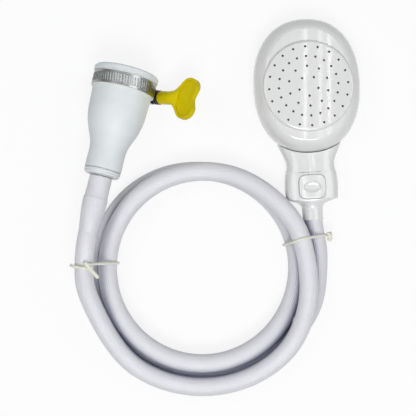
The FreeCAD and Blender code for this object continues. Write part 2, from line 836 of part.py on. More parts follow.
builders = {
    "head_front_shell": frontShell,
    "head_back_shell": backShell,
    "face_seal": faceSeal,
    "flow_plate": flowPlate,
    "shell_screws": shellScrews,
    "neck_seal": neckSeal,
    "valve_housing": valveHousing,
    "stop_button": stopButton,
    "spool_seals": spoolSeals,
    "button_spring": buttonSpring,
    "spool_cap": spoolCap,
    "hose_nut": hoseNut,
    "barb_washer": barbWasher,
    "handset_barb": handsetBarb,
    "hose_tail_handset": handsetTail,
    "hose_coil": hoseCoil,
    "hose_tail_tap": tapTail,
    "hose_cuff": hoseCuff,
    "tap_spigot": tapSpigot,
    "tap_cup": tapCup,
    "cup_neck_ring": neckRing,
    "inlet_seal": inletSeal,
    "tap_filter": tapFilter,
    "clamp_band": clampBand,
    "band_tail": bandTail,
    "clamp_housing": clampHousing,
    "worm_screw": wormScrew,
    "thrust_collar": thrustCollar,
    "wing_key": wingKey,
}
for tieName, tiePlace in ties.items():
    builders[tieName] = lambda place=tiePlace: twistTie(*place)

os.makedirs("parts", exist_ok=True)
for name, build in builders.items():
    shape = build()
    box = shape.BoundBox
    print(name, "solids", len(shape.Solids), "valid", shape.isValid(), "volume", round(shape.Volume, 1),
          "x", round(box.XMin, 1), round(box.XMax, 1), "y", round(box.YMin, 1), round(box.YMax, 1),
          "z", round(box.ZMin, 2), round(box.ZMax, 2))
    shape.exportStep("parts/" + name + ".step")
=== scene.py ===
import bpy
import bmesh
import json
import math
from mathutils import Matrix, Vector


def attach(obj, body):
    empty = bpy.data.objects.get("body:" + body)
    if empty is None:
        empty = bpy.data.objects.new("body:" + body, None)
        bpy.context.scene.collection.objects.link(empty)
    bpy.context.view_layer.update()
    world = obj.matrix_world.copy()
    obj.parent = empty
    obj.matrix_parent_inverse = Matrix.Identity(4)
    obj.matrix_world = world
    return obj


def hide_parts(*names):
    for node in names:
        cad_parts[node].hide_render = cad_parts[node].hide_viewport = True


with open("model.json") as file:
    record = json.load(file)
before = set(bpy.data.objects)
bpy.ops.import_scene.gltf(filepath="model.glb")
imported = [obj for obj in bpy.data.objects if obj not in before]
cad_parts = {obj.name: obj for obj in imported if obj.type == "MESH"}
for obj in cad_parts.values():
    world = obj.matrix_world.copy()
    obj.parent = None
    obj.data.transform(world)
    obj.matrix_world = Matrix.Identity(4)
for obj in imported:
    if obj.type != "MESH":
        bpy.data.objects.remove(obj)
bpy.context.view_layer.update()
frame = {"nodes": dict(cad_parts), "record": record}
nodes = frame["nodes"]
mm = 0.001
print("frame loaded:", len(nodes), "parts")

# camera, straight above the table
cameraSet = {
    "middle": (-0.0089, -0.0609),  # what it looks straight down at
    "height": 0.85,
    "width": 0.2912,  # width of the view at a small height above the table
    "plane": 0.010,
}


def addCamera(s):
    data = bpy.data.cameras.new("camera")
    data.sensor_width = 36
    data.lens = 36 * (s["height"] - s["plane"]) / s["width"]
    data.clip_start = 0.01
    data.clip_end = 100
    camera = bpy.data.objects.new("camera", data)
    camera.location = (*s["middle"], s["height"])
    bpy.context.scene.collection.objects.link(camera)
    bpy.context.scene.camera = camera


addCamera(cameraSet)
print("camera placed")


# mesh helpers
def newObject(name, mesh, smooth=True):
    if smooth:
        mesh.shade_smooth()
    piece = bpy.data.objects.new(name, mesh)
    bpy.context.scene.collection.objects.link(piece)
    return piece


def meshFrom(name, verts, faces):
    mesh = bpy.data.meshes.new(name)
    mesh.from_pydata(verts, [], faces)
    mesh.validate()
    mesh.update()
    return mesh


def smoothLine(points, steps=10, closed=False):
    # points read along one smooth NURBS line that has the given control points
    curve = bpy.data.curves.new("line", "CURVE")
    curve.dimensions = "3D"
    curve.resolution_u = steps
    spline = curve.splines.new("NURBS")
    spline.points.add(len(points) - 1)
    for place, co in zip(spline.points, points):
        place.co = (*co, 1)
    spline.order_u = 3
    spline.use_endpoint_u = not closed
    spline.use_cyclic_u = closed
    holder = bpy.data.objects.new("line", curve)
    bpy.context.scene.collection.objects.link(holder)
    bpy.context.view_layer.update()
    mesh = bpy.data.meshes.new_from_object(holder)
    line = [v.co.copy() for v in mesh.vertices]
    bpy.data.objects.remove(holder)
    bpy.data.meshes.remove(mesh)
    return line


def evenLine(line, spacing):
    # the same line with its points an even distance apart
    lengths = [0.0]
    for a, b in zip(line, line[1:]):
        lengths.append(lengths[-1] + (b - a).length)
    count = max(2, round(lengths[-1] / spacing))
    even, index = [], 0
    for step in range(count + 1):
        want = lengths[-1] * step / count
        while index < len(line) - 2 and lengths[index + 1] < want:
            index += 1
        span = lengths[index + 1] - lengths[index]
        share = (want - lengths[index]) / span if span else 0
        even.append(line[index].lerp(line[index + 1], share))
    return even


def lineFrames(line, closed=False):
    # two side directions at each point, carried along without twist
    count = len(line)
    tangents = []
    for index in range(count):
        if closed:
            a, b = line[index - 1], line[(index + 1) % count]
        else:
            a, b = line[max(index - 1, 0)], line[min(index + 1, count - 1)]
        tangents.append((b - a).normalized())
    side = tangents[0].cross(Vector((0, 0, 1)))
    if side.length < 0.1:
        side = tangents[0].cross(Vector((0, 1, 0)))
    frames = []
    for tangent in tangents:
        side = (side - tangent * side.dot(tangent)).normalized()
        frames.append((side, tangent.cross(side)))
    return frames


def tubeMesh(name, line, radiusAt, segments, closed=False):
    # radiusAt gives the radius from the share of the length and the angle round the tube
    verts, faces = [], []
    rings = len(line)
    for index, (place, (side, lift)) in enumerate(zip(line, lineFrames(line, closed))):
        for k in range(segments):
            angle = 2 * math.pi * k / segments
            r = radiusAt(index / (rings - 1), angle)
            verts.append(place + side * (r * math.cos(angle)) + lift * (r * math.sin(angle)))
    for index in range(rings if closed else rings - 1):
        after = ((index + 1) % rings) * segments
        for k in range(segments):
            a, b = index * segments + k, index * segments + (k + 1) % segments
            faces.append((a, b, after + (k + 1) % segments, after + k))
    if not closed:
        faces.append(tuple(reversed(range(segments))))
        faces.append(tuple(range((rings - 1) * segments, rings * segments)))
    return meshFrom(name, verts, faces)


def joinedMesh(name, meshes):
    whole = bmesh.new()
    for mesh in meshes:
        whole.from_mesh(mesh)
        bpy.data.meshes.remove(mesh)
    mesh = bpy.data.meshes.new(name)
    whole.to_mesh(mesh)
    whole.free()
    return mesh


# hose
hoseSet = {
    "diameter": 13.0 * mm,
    "length": 1.2,
    "flutes": 32,
    "fluteDepth": 0.24 * mm,
    "spacing": 2.6 * mm,
    "coilMiddle": (-12.2, -101.8),
    "pointsPerTurn": 16,
    "handsetEnd": ((64.08, -61.53, 10.6), (64.6, -70.5, 10.6), (66.6, -82.0, 10.2), (69.0, -94.5, 8.8)),
    "tapEnd": ((-92.6, -120.0, 30.0), (-93.2, -99.2, 37.6), (-90.83, -78.97, 39.65), (-85.8, -57.72, 36.97)),
    # clockwise turn in degrees, distance from the coil's middle, height of the hose's own middle
    "lay": ((20, 82.2, 7.0), (45, 77.6, 6.7), (90, 75.6, 6.7), (135, 74.9, 6.7), (180, 74.2, 6.8),
            (225, 71.4, 6.8), (270, 66.5, 6.8), (315, 65.5, 6.8), (360, 66.1, 7.4), (385, 66.3, 9.4),
            (405, 66.5, 14.0), (450, 67.2, 17.2), (495, 67.2, 17.4), (540, 66.3, 17.8), (585, 66.2, 19.4),
            (630, 66.2, 20.1), (675, 67.0, 21.8), (696, 70.4, 21.8), (720, 71.4, 20.8), (740, 76.6, 20.8),
            (765, 82.4, 19.8), (810, 82.9, 18.0), (855, 83.2, 19.4)),
}


def layAt(lay, turn):
    for (t0, r0, z0), (t1, r1, z1) in zip(lay, lay[1:]):
        if t0 <= turn <= t1:
            share = (turn - t0) / (t1 - t0)
            return r0 + (r1 - r0) * share, z0 + (z1 - z0) * share
    return lay[-1][1:]


def hoseRoute(s):
    step = 360 / s["pointsPerTurn"]
    outward = 1 / math.cos(math.radians(step / 2))  # the smooth line runs inside its points
    turn, last = s["lay"][0][0], s["lay"][-1][0]
    coil = []
    while turn <= last:
        r, z = layAt(s["lay"], turn)
        angle = -math.radians(turn)
        coil.append((s["coilMiddle"][0] + r * outward * math.cos(angle),
                     s["coilMiddle"][1] + r * outward * math.sin(angle), z))
        turn += step
    return [Vector(p) * mm for p in (*s["handsetEnd"], *coil, *s["tapEnd"])]


def addHose(s):
    line = evenLine(smoothLine(hoseRoute(s)), s["spacing"])
    length = sum((b - a).length for a, b in zip(line, line[1:]))
    radius = s["diameter"] / 2

    def radiusAt(share, angle):
        return radius - s["fluteDepth"] * (0.5 - 0.5 * math.cos(angle * s["flutes"]))

    piece = newObject("hose", tubeMesh("hose", line, radiusAt, s["flutes"] * 4))
    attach(piece, "sprayer")
    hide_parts("hose_tail_handset", "hose_coil", "hose_tail_tap")
    print("hose laid:", round(length, 4), "m")
    return piece, line


hose, hoseLine = addHose(hoseSet)

# swollen hose end over the adapter's spigot, with the same fine flutes
cuffSet = {
    "mouth": (-64.5, 32.4, 25.6),
    "lean": 13.3,
    "dip": 7.0,
    "start": 74.85,
    "straight": 18.2,  # mm before the line follows the hose
    "outline": ((0.0, 7.3), (0.5, 7.6), (1.2, 7.72), (8.0, 7.74), (14.6, 8.0), (15.2, 8.32), (16.4, 8.4),
                (21.4, 8.15), (26.0, 7.7), (30.0, 7.25), (34.0, 6.85), (38.0, 6.38)),
    "spacing": 0.5 * mm,
    "flutes": 42,
    "fluteDepth": 0.20 * mm,
}


def adapterAxis(s):
    lean, dip = math.radians(s["lean"]), math.radians(s["dip"])
    out = Vector((math.sin(lean) * math.cos(dip), math.cos(lean) * math.cos(dip), -math.sin(dip)))
    return Vector(s["mouth"]) * mm, -out


def addCuff(s):
    mouth, along = adapterAxis(s)
    outline = s["outline"]
    end = outline[-1][0] * mm
    # follows the hose's own line, so that the tapered end sits on the hose where it starts to bend
    count = int(s["straight"] * mm / s["spacing"])
    line = [mouth + along * (s["start"] * mm + step * s["spacing"]) for step in range(count)]
    reach = 0.0
    for place in evenLine(list(reversed(hoseLine)), s["spacing"]):
        if (place - line[-1]).dot(along) > 0.3 * s["spacing"] and reach < end:
            line.append(place)
        reach = (line[-1] - line[0]).length
        if reach >= end:
            break
    total = len(line) - 1

    def radiusAt(share, angle):
        distance = share * total * s["spacing"] / mm
        radius = outline[-1][1]
        for (d0, r0), (d1, r1) in zip(outline, outline[1:]):
            if d0 <= distance <= d1:
                radius = r0 + (r1 - r0) * (distance - d0) / (d1 - d0)
                break
        flute = s["fluteDepth"] * (0.5 - 0.5 * math.cos(angle * s["flutes"]))
        return radius * mm - flute * min(1, max(0, (36 - distance) / 10))

    piece = newObject("hoseCuff", tubeMesh("hoseCuff", line, radiusAt, s["flutes"] * 4))
    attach(piece, "sprayer")
    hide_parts("hose_cuff")
    return piece


cuff = addCuff(cuffSet)
print("hose cuff made")

# end ring of the cup's neck, with a groove above it and a bead
ringSet = {
    "segments": 128,
    # distance along the adapter and radius, in mm
    "outline": ((69.85, 8.2), (69.85, 11.4), (70.35, 11.4), (70.45, 12.2), (70.65, 12.45), (71.7, 12.45),
                (71.95, 12.25),
                (72.05, 11.75), (72.35, 11.6), (72.55, 11.95), (73.0, 11.95), (73.5, 11.55), (73.85, 11.05),
                (73.95, 10.5), (73.9, 9.6), (73.7, 8.6), (73.2, 8.15)),
}


def addNeckRing(s):
    mouth, along = adapterAxis(cuffSet)
    side = along.cross(Vector((0, 0, 1))).normalized()
    lift = side.cross(along)
    verts, faces = [], []
    count, steps = s["segments"], len(s["outline"])
    for distance, radius in s["outline"]:
        for k in range(count):
            angle = 2 * math.pi * k / count
            outward = side * math.cos(angle) + lift * math.sin(angle)
            verts.append(mouth + along * (distance * mm) + outward * (radius * mm))
    for index in range(steps):
        after = ((index + 1) % steps) * count
        for k in range(count):
            near, beside = index * count + k, index * count + (k + 1) % count
            faces.append((near, after + k, after + (k + 1) % count, beside))
    piece = newObject("neckRing", meshFrom("neckRing", verts, faces))
    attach(piece, "tap_adapter")
    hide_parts("cup_neck_ring")
    return piece


neckRing = addNeckRing(ringSet)
print("neck ring turned")

# dark tubes in the spray holes, standing in as painted shade inside them, each set on a round rim found in
# the shell's top
holeShadeSet = {
    "bore": 0.58 * mm,
    "lip": 0.78 * mm,
    "rise": 0.05 * mm,
    "depth": 0.60 * mm,
    "segments": 18,
    "grid": 0.02 * mm,  # corners closer than this are one
    "level": 0.9,  # least upward slope of the face round a hole
    "upright": 0.3,  # most upward slope of a hole's wall
    "reach": 1.4 * mm,  # corners this near belong to one rim
    "rimLeast": 0.5 * mm,
    "rimMost": 0.7 * mm,
    "topBand": 1 * mm,
}


def holeCentres(shell, s):
    bpy.context.view_layer.update()
    turn = shell.matrix_world.to_3x3()
    edges = {}
    for face in shell.data.polygons:
        places = [shell.matrix_world @ shell.data.vertices[v].co for v in face.vertices]
        corners = [tuple(round(c / s["grid"]) for c in place) for place in places]
        for pair in zip(corners, corners[1:] + corners[:1]):
            edges.setdefault(frozenset(pair), []).append(turn @ face.normal)
    rims = []
    for edge, normals in edges.items():
        slopes = sorted(normal.z for normal in normals)
        if len(slopes) != 2 or slopes[1] < s["level"] or abs(slopes[0]) > s["upright"]:
            continue
        for corner in edge:
            place = Vector(corner) * s["grid"]
            near = [rim for rim in rims if (rim[0] - place).length < s["reach"]]
            if near:
                near[0].append(place)
            else:
                rims.append([place])
    centres = []
    for rim in rims:
        centre = sum(rim, Vector()) / len(rim)
        if s["rimLeast"] < sum((place - centre).length for place in rim) / len(rim) < s["rimMost"]:
            centres.append(centre)
    top = max(centre.z for centre in centres)  # the screw pilots inside the shell lie lower
    return [centre for centre in centres if centre.z > top - s["topBand"]]


def addHoleShades(s):
    centres = holeCentres(nodes["head_front_shell"], s)
    verts, faces = [], []
    profile = ((s["bore"], -s["depth"]), (s["bore"], s["rise"] * 0.5), (s["bore"] + 0.05 * mm, s["rise"]),
               (s["lip"] - 0.06 * mm, s["rise"]), (s["lip"], 0.0), (s["lip"], -s["rise"]),
               (s["bore"] + 0.05 * mm, -s["depth"]))
    count, rows = s["segments"], len(profile)
    for centre in centres:
        base = len(verts)
        for radius, height in profile:
            for k in range(count):
                angle = 2 * math.pi * k / count
                verts.append(centre + Vector((radius * math.cos(angle), radius * math.sin(angle), height)))
        for row in range(rows):
            near, after = base + row * count, base + (row + 1) % rows * count
            for k in range(count):
                turned = (k + 1) % count
                faces.append((near + k, after + k, after + turned, near + turned))
    piece = newObject("sprayHoleShades", meshFrom("sprayHoleShades", verts, faces))
    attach(piece, "sprayer")
    print("spray holes lined:", len(centres))
    return piece


holeShades = addHoleShades(holeShadeSet)

# twist ties: a wire loop round the strands in one upright plane, and its ends
tieSet = {
    "wire": 0.95 * mm,
    "segments": 20,
    "left": {
        "inner": (-70.4, -99.0), "outer": (-101.4, -99.9),
        "sway": ((0.0, 0.0), (0.3, -1.2), (0.5, -1.2), (0.62, 0.0), (0.78, 1.2), (1.0, 0.4)),
        "ends": (
            ((-101.9, -99.8, 34.0), (-101.9, -99.9, 38.4), (-98.6, -100.1, 44.4), (-93.6, -101.0, 46.4),
             (-89.6, -102.0, 45.6), (-87.4, -102.7, 43.4)),
            ((-91.4, -97.6, 46.0), (-89.6, -99.4, 47.2), (-87.6, -102.0, 46.6), (-85.2, -105.0, 44.4),
             (-83.0, -107.7, 42.4)),
        ),
        "thick": (1.0, 1.35),
        "twist": {"start": (-90.6, -99.0, 45.2), "toward": (1.0, -0.25, -0.12), "length": 4.4, "turns": 0.75},
    },
    "right": {
        "inner": (43.6, -87.0), "outer": (75.6, -79.2),
        "sway": ((0.0, 0.0), (0.2, 0.9), (0.36, 1.9), (0.6, 1.4), (1.0, 0.0)),
        "ends": (),
        "thick": (),
        "twist": {"start": (75.6, -78.2, 14.6), "toward": (0.08, -1.0, -0.1), "length": 5.2, "turns": 1.25},
    },
}


def strandCircles(inner, outer):
    # where the hose passes through the tie's upright plane, as distance along it and height
    base = Vector((*inner, 0)) * mm
    span = Vector((*outer, 0)) * mm - base
    along = span.normalized()
    across = Vector((-along.y, along.x, 0))
    circles = []
    for a, b in zip(hoseLine, hoseLine[1:]):
        before, after = (a - base).dot(across), (b - base).dot(across)
        if before * after <= 0 and before != after:
            place = a.lerp(b, before / (before - after))
            distance = (place - base).dot(along)
            if -2 * mm < distance < span.length + 2 * mm:
                circles.append((distance, place.z))
    return base, along, across, span.length, circles


def hullOf(points):
    points = sorted(set(points))

    def half(points):
        chain = []
        for p in points:
            while len(chain) > 1:
                (ax, ay), (bx, by) = chain[-2], chain[-1]
                if (bx - ax) * (p[1] - ay) - (by - ay) * (p[0] - ax) > 0:
                    break
                chain.pop()
            chain.append(p)
        return chain[:-1]

    return half(points) + half(list(reversed(points)))


def valueAt(pairs, x):
    for (x0, y0), (x1, y1) in zip(pairs, pairs[1:]):
        if x <= x1:
            return y0 + (y1 - y0) * max(0, (x - x0) / (x1 - x0))
    return pairs[-1][1]


def tieLoop(s, wire):
    base, along, across, length, circles = strandCircles(s["inner"], s["outer"])
    radius = hoseSet["diameter"] / 2 + wire * 1.05
    points = []
    for distance, height in circles:
        for k in range(36):
            angle = 2 * math.pi * k / 36
            points.append((distance + radius * math.cos(angle), height + radius * math.sin(angle)))
    middle = sum(height for distance, height in circles) / len(circles)
    loop = []
    for distance, height in hullOf(points):
        upper = min(1, max(0, (height - middle) / (6 * mm)))
        sway = valueAt(s["sway"], distance / length) * upper * mm
        loop.append(base + along * distance + across * sway + Vector((0, 0, max(height, wire * 1.1))))
    loop = smoothLine(loop, 6, True)
    return evenLine(loop + loop[:1], 0.9 * mm)[:-1]


def twistedPair(name, s, wire, segments):
    # two short wires wound round each other, spreading at their tips
    start, direction = Vector(s["start"]) * mm, Vector(s["toward"]).normalized()
    side = direction.cross(Vector((0, 0, 1))).normalized()
    lift = side.cross(direction)
    meshes = []
    for index in (0, 1):
        line = []
        for step in range(41):
            share = step / 40
            angle = 2 * math.pi * s["turns"] * share + index * math.pi
            spread = wire * (1.0 + 1.5 * max(0, share - 0.82))
            offset = (side * math.cos(angle) + lift * math.sin(angle)) * spread
            line.append(start + direction * (s["length"] * mm * share) + offset)
        line = evenLine(line, 0.4 * mm)
        meshes.append(tubeMesh(f"{name}Twist{index}", line, lambda share, angle: wire, segments))
    return meshes


def addTie(name, s, node):
    wire, segments = tieSet["wire"], tieSet["segments"]
    meshes = [tubeMesh(name + "Loop", tieLoop(s, wire), lambda share, angle: wire, segments, True)]
    for index, (end, thick) in enumerate(zip(s["ends"], s["thick"])):
        line = evenLine(smoothLine([Vector(p) * mm for p in end], 8), 0.6 * mm)
        meshes.append(tubeMesh(f"{name}End{index}", line, lambda share, angle: wire * thick, segments))
    meshes += twistedPair(name, s["twist"], wire, segments)
    piece = newObject(name, joinedMesh(name, meshes))
    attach(piece, "sprayer")
    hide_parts(node)
    return piece


leftTie = addTie("leftTie", tieSet["left"], "tie_left")
rightTie = addTie("rightTie", tieSet["right"], "tie_right")
print("ties wound")


# shader groups
def shaderGroup(name, inputs, outputs):
    tree = bpy.data.node_groups.new(name, "ShaderNodeTree")
    for label, kind, value in inputs:
        socket = tree.interface.new_socket(label, in_out="INPUT", socket_type=kind)
        socket.default_value = value
    for label, kind in outputs:
        tree.interface.new_socket(label, in_out="OUTPUT", socket_type=kind)
    return tree, tree.nodes.new("NodeGroupInput"), tree.nodes.new("NodeGroupOutput")


def addNode(tree, kind, settings=None, values=None, links=None):
    # settings go on the node, values on its input sockets, links name output sockets
    node = tree.nodes.new(kind)
    for key, value in (settings or {}).items():
        setattr(node, key, value)
    for key, value in (values or {}).items():
        node.inputs[key].default_value = value
    for key, socket in (links or {}).items():
        tree.links.new(socket, node.inputs[key])
    return node


def rangeOf(tree, socket, low, high, outLow, outHigh):
    values = {"From Min": low, "From Max": high, "To Min": outLow, "To Max": outHigh}
    return addNode(tree, "ShaderNodeMapRange", values=values, links={"Value": socket}).outputs["Result"]


def mathOf(tree, operation, a, b):
    node = addNode(tree, "ShaderNodeMath", {"operation": operation})
    for index, value in enumerate((a, b)):
        if isinstance(value, (int, float)):
            node.inputs[index].default_value = value
        else:
            tree.links.new(value, node.inputs[index])
    return node.outputs[0]


def mixOf(tree, factor, a, b, blendType="MIX"):
    node = addNode(tree, "ShaderNodeMix", {"data_type": "RGBA", "blend_type": blendType})
    for index, value in ((0, factor), (6, a), (7, b)):
        if isinstance(value, (int, float, tuple)):
            node.inputs[index].default_value = value
        else:
            tree.links.new(value, node.inputs[index])
    return node.outputs[2]


def noiseOf(tree, vector, scale, detail=2.0, roughness=0.5):
    values = {"Scale": scale, "Detail": detail, "Roughness": roughness}
    return addNode(tree, "ShaderNodeTexNoise", values=values, links={"Vector": vector}).outputs["Fac"]


def mouldedGroup():
    # moulded plastic or rubber: slow colour drift, painted shade in crevices, orange peel, grain and
    # hairlines
    colour, number = "NodeSocketColor", "NodeSocketFloat"
    tree, start, end = shaderGroup(
        "mouldedSurface",
        (("Color", colour, (0.8, 0.8, 0.8, 1)), ("Tint", colour, (0.6, 0.6, 0.6, 1)), ("Drift", number, 0.3),
         ("Crevice Shade", number, 0.5), ("Crevice Shade Reach", number, 0.0025), ("Peel Scale", number, 500),
         ("Grain Scale", number, 3000), ("Grain Share", number, 0.4), ("Smooth", number, 0.2),
         ("Rough", number, 0.35)),
        (("Color", colour), ("Roughness", number), ("Height", number)))
    place = addNode(tree, "ShaderNodeTexCoord").outputs["Object"]
    cloud = rangeOf(tree, noiseOf(tree, place, 28, 4, 0.6), 0.35, 0.7, 0, 1)
    drifted = mixOf(tree, mathOf(tree, "MULTIPLY", cloud, start.outputs["Drift"]), start.outputs["Color"],
                    start.outputs["Tint"])
    # painted shade: the colour darkens toward Tint in crevices and between close parts, where ambient
    # occlusion is low
    near = addNode(tree, "ShaderNodeAmbientOcclusion", {"samples": 6, "only_local": True},
                   links={"Distance": start.outputs["Crevice Shade Reach"]})
    creviceShade = rangeOf(tree, near.outputs["AO"], 0.35, 0.85, 1, 0)
    paintedShade = mathOf(tree, "MULTIPLY", creviceShade, start.outputs["Crevice Shade"])
    tinted = mixOf(tree, paintedShade, drifted, start.outputs["Tint"])
    peelNode = addNode(tree, "ShaderNodeTexNoise", values={"Detail": 1.0}, links={"Vector": place})
    grainNode = addNode(tree, "ShaderNodeTexNoise", values={"Detail": 3.0}, links={"Vector": place})
    tree.links.new(start.outputs["Peel Scale"], peelNode.inputs["Scale"])
    tree.links.new(start.outputs["Grain Scale"], grainNode.inputs["Scale"])
    hairLie = {"Rotation": (0.4, 0.9, 0.7), "Scale": (30, 2600, 30)}
    mapping = addNode(tree, "ShaderNodeMapping", values=hairLie, links={"Vector": place})
    hairs = rangeOf(tree, noiseOf(tree, mapping.outputs["Vector"], 1.0, 3, 0.6), 0.66, 0.74, 0, 1)
    fine = mathOf(tree, "MULTIPLY", grainNode.outputs["Fac"], start.outputs["Grain Share"])
    height = mathOf(tree, "ADD", peelNode.outputs["Fac"], fine)
    height = mathOf(tree, "SUBTRACT", height, mathOf(tree, "MULTIPLY", hairs, 0.25))
    worn = mathOf(tree, "ADD", mathOf(tree, "MULTIPLY", cloud, 0.6), mathOf(tree, "MULTIPLY", hairs, 0.6))
    worn = mathOf(tree, "ADD", worn, mathOf(tree, "MULTIPLY", creviceShade, 0.4))
    span = mathOf(tree, "SUBTRACT", start.outputs["Rough"], start.outputs["Smooth"])
    roughness = mathOf(tree, "ADD", start.outputs["Smooth"], mathOf(tree, "MULTIPLY", span, worn))
    tree.links.new(tinted, end.inputs["Color"])
    tree.links.new(roughness, end.inputs["Roughness"])
    tree.links.new(height, end.inputs["Height"])
    return tree


def metalGroup():
    # rolled or turned steel: streaks along the vector's first axis, stains, and painted shade in its crevices
    colour, number = "NodeSocketColor", "NodeSocketFloat"
    tree, start, end = shaderGroup(
        "steelSurface",
        (("Vector", "NodeSocketVector", (0, 0, 0)), ("Color", colour, (0.6, 0.6, 0.6, 1)),
         ("Tint", colour, (0.4, 0.38, 0.35, 1)), ("Smooth", number, 0.2), ("Rough", number, 0.45)),
        (("Color", colour), ("Roughness", number), ("Height", number)))
    mapping = addNode(tree, "ShaderNodeMapping", values={"Scale": (60, 5200, 5200)},
                      links={"Vector": start.outputs["Vector"]})
    streaks = noiseOf(tree, mapping.outputs["Vector"], 1.0, 4, 0.65)
    broad = addNode(tree, "ShaderNodeMapping", values={"Scale": (25, 700, 700)},
                    links={"Vector": start.outputs["Vector"]})
    bands = noiseOf(tree, broad.outputs["Vector"], 1.0, 2, 0.5)
    stains = rangeOf(tree, noiseOf(tree, start.outputs["Vector"], 160, 5, 0.65), 0.5, 0.75, 0, 1)
    # painted shade: darker toward Tint in crevices, where ambient occlusion is low
    near = addNode(tree, "ShaderNodeAmbientOcclusion", {"samples": 6, "only_local": True},
                   {"Distance": 0.0015})
    creviceShade = rangeOf(tree, near.outputs["AO"], 0.3, 0.85, 1, 0)
    stainAndShade = mathOf(tree, "ADD", mathOf(tree, "MULTIPLY", stains, 0.35), mathOf(tree, "MULTIPLY", creviceShade, 0.5))
    stainAndShade = mathOf(tree, "ADD", stainAndShade, rangeOf(tree, bands, 0.35, 0.7, 0, 0.35))
    tinted = mixOf(tree, stainAndShade, start.outputs["Color"], start.outputs["Tint"])
    span = mathOf(tree, "SUBTRACT", start.outputs["Rough"], start.outputs["Smooth"])
    streaked = rangeOf(tree, streaks, 0.3, 0.7, 0, 0.7)
    share = mathOf(tree, "ADD", streaked, mathOf(tree, "MULTIPLY", stains, 0.4))
    roughness = mathOf(tree, "ADD", start.outputs["Smooth"], mathOf(tree, "MULTIPLY", span, share))
    height = mathOf(tree, "ADD", streaks, mathOf(tree, "MULTIPLY", bands, 0.8))
    tree.links.new(tinted, end.inputs["Color"])
    tree.links.new(roughness, end.inputs["Roughness"])
    tree.links.new(height, end.inputs["Height"])
    return tree


mouldedSurface = mouldedGroup()
steelSurface = metalGroup()
print("shader groups made")

# materials
materialSets = {
    "glossWhite": {
        "Color": (0.80, 0.80, 0.79, 1), "Tint": (0.66, 0.67, 0.68, 1), "Drift": 0.16, "Crevice Shade": 0.12,
        "Peel Scale": 220, "Grain Scale": 1800, "Grain Share": 0.06, "Smooth": 0.20, "Rough": 0.32,
        "coat": 0.9, "coatRoughness": 0.035, "ior": 1.45, "bump": 0.05, "bumpDistance": 0.0005,
    },
    # the shell's dark Tint and short crevice reach paint shade inside the small spray holes
    "sprayShell": {
        "Color": (0.80, 0.80, 0.79, 1), "Tint": (0.30, 0.30, 0.31, 1), "Drift": 0.05, "Crevice Shade": 0.3,
        "Crevice Shade Reach": 0.0015, "Peel Scale": 220, "Grain Scale": 1800, "Grain Share": 0.06,
        "Smooth": 0.20, "Rough": 0.32, "coat": 0.9, "coatRoughness": 0.035, "ior": 1.45, "bump": 0.05,
        "bumpDistance": 0.0005,
    },
    "cupRubber": {
        "Color": (0.84, 0.885, 0.88, 1), "Tint": (0.58, 0.63, 0.66, 1), "Drift": 0.25, "Crevice Shade": 0.5,
        "Peel Scale": 420, "Grain Scale": 4200, "Grain Share": 0.9, "Smooth": 0.38, "Rough": 0.60,
        "coat": 0.0, "coatRoughness": 0.3, "ior": 1.45, "bump": 0.16, "bumpDistance": 0.0005,
    },
    # strong, far-reaching bluish crevice shade: painted shade between the coiled hose strands
    "hoseVinyl": {
        "Color": (0.775, 0.775, 0.805, 1), "Tint": (0.24, 0.245, 0.35, 1), "Drift": 0.05,
        "Crevice Shade": 0.9, "Crevice Shade Reach": 0.020, "Peel Scale": 700, "Grain Scale": 4200,
        "Grain Share": 0.5, "Smooth": 0.30, "Rough": 0.44, "coat": 0.10, "coatRoughness": 0.25,
        "ior": 1.5, "bump": 0.08, "bumpDistance": 0.0004,
    },
    "yellowPlastic": {
        "Color": (0.78, 0.635, 0.001, 1), "Tint": (0.44, 0.34, 0.0, 1), "Drift": 0.35, "Crevice Shade": 0.6,
        "Peel Scale": 380, "Grain Scale": 2600, "Grain Share": 0.3, "Smooth": 0.24, "Rough": 0.38,
        "coat": 0.0, "coatRoughness": 0.15, "ior": 1.22, "bump": 0.10, "bumpDistance": 0.0005,
    },
    "blackPlastic": {
        "Color": (0.022, 0.022, 0.023, 1), "Tint": (0.06, 0.058, 0.055, 1), "Drift": 0.4,
        "Crevice Shade": 0.2, "Peel Scale": 500, "Grain Scale": 4000, "Grain Share": 0.6, "Smooth": 0.34,
        "Rough": 0.5, "coat": 0.0, "coatRoughness": 0.2, "ior": 1.5, "bump": 0.12,
        "bumpDistance": 0.0005,
    },
    "innerPlastic": {
        "Color": (0.70, 0.70, 0.68, 1), "Tint": (0.45, 0.44, 0.41, 1), "Drift": 0.4, "Crevice Shade": 0.5,
        "Peel Scale": 450, "Grain Scale": 3600, "Grain Share": 0.5, "Smooth": 0.36, "Rough": 0.5,
        "coat": 0.0, "coatRoughness": 0.2, "ior": 1.46, "bump": 0.10, "bumpDistance": 0.0005,
    },
    "sealRubber": {
        "Color": (0.045, 0.045, 0.047, 1), "Tint": (0.10, 0.10, 0.10, 1), "Drift": 0.5, "Crevice Shade": 0.2,
        "Peel Scale": 520, "Grain Scale": 6000, "Grain Share": 0.9, "Smooth": 0.5, "Rough": 0.7,
        "coat": 0.0, "coatRoughness": 0.2, "ior": 1.45, "bump": 0.14, "bumpDistance": 0.0005,
    },
    "flowPlastic": {
        "Color": (0.10, 0.10, 0.10, 1), "Tint": (0.05, 0.05, 0.05, 1), "Drift": 0.4, "Crevice Shade": 0.5,
        "Peel Scale": 450, "Grain Scale": 3600, "Grain Share": 0.5, "Smooth": 0.4, "Rough": 0.6,
        "coat": 0.0, "coatRoughness": 0.2, "ior": 1.46, "bump": 0.10, "bumpDistance": 0.0005,
    },
    "tiePaper": {
        "Color": (0.93, 0.93, 0.82, 1), "Tint": (0.66, 0.64, 0.50, 1), "Drift": 0.35, "Crevice Shade": 0.3,
        "Peel Scale": 900, "Grain Scale": 5200, "Grain Share": 0.8, "Smooth": 0.38, "Rough": 0.55,
        "coat": 0.0, "coatRoughness": 0.2, "ior": 1.46, "bump": 0.18, "bumpDistance": 0.0004,
    },
}
